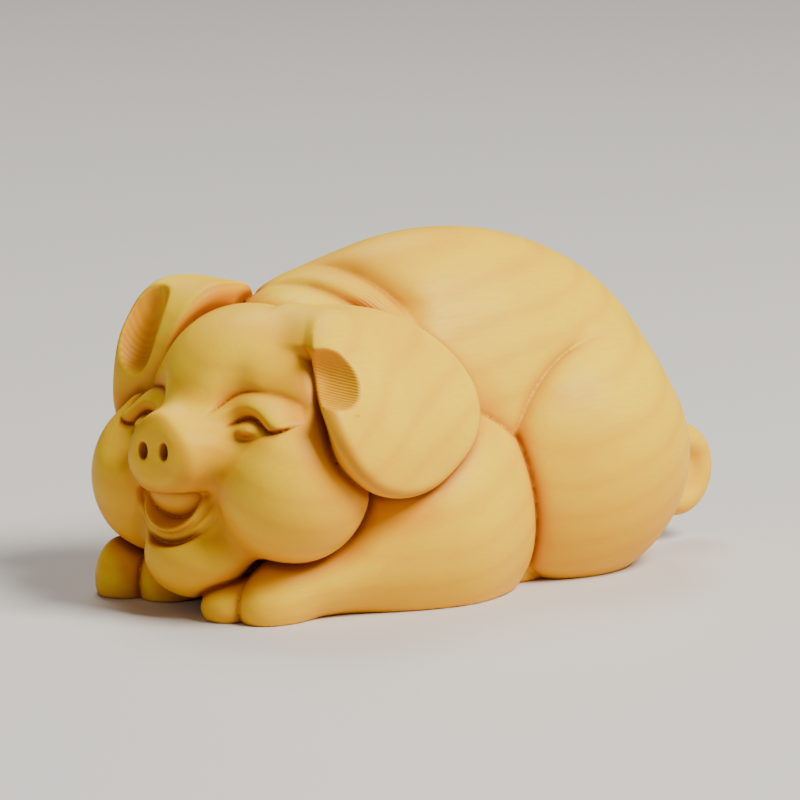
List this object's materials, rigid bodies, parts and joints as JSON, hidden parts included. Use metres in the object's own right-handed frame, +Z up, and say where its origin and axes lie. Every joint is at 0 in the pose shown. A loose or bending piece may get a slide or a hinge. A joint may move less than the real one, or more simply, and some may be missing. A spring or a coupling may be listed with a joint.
{
  "type": "carved wooden pig figurine",
  "caption": "Carved boxwood pig lying with its smiling head between its front hooves, ears laid back, tail curled.",
  "frame": {"origin": "on the flat underside, below the middle of the body", "axes": "+X along the body from head to tail (the head is at -X), +Y to the pig's right side, +Z up from the underside"},
  "size_m": [0.0867, 0.0508, 0.0428],
  "materials": {
    "wood": "satin"
  },
  "bodies": {
    "root": {"pig": "wood"}
  },
  "joints": []
}
